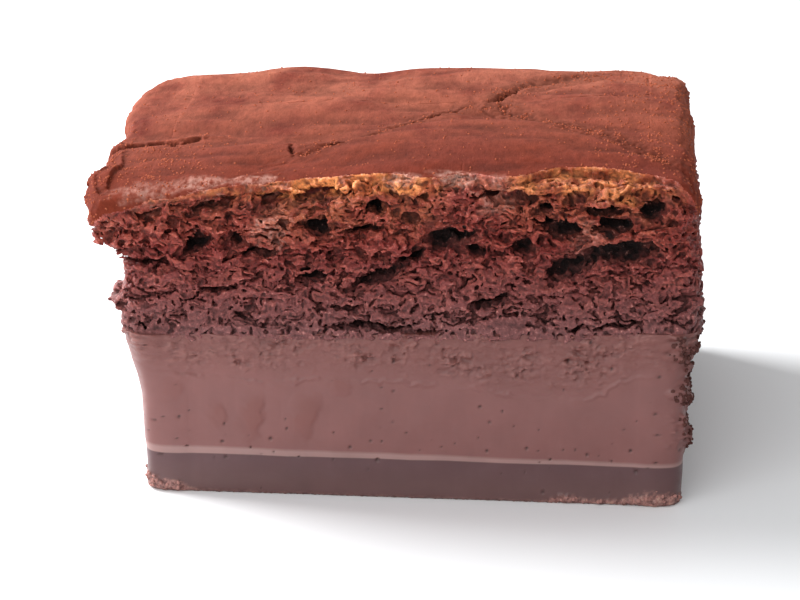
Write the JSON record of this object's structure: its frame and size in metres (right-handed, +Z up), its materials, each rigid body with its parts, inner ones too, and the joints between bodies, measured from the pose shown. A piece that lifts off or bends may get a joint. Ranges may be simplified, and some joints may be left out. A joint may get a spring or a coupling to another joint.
{
  "type": "magic cake",
  "caption": "Square of chocolate magic cake: flan base, pale seam, set custard and airy sponge under a cocoa-dusted crinkled crust.",
  "frame": {"origin": "centre of the cake's box on the surface that it stands on", "axes": "+Z up; the cut front face looks along -Y; +X to the right of a viewer who looks at the front"},
  "size_m": [0.0714, 0.066, 0.0397],
  "materials": {
    "flan_base": "dense baked flan, smooth cut face with a soft wet sheen",
    "pale_seam": "thin pale line of settled custard, smooth",
    "custard": "set chocolate custard, smooth cut face with small pores and a soft sheen",
    "sponge": "open torn chocolate crumb under a crust dusted with cocoa"
  },
  "bodies": {
    "root": {"base_layer": "flan_base", "pale_seam": "pale_seam", "custard_layer": "custard", "sponge_layer": "sponge"}
  },
  "joints": []
}
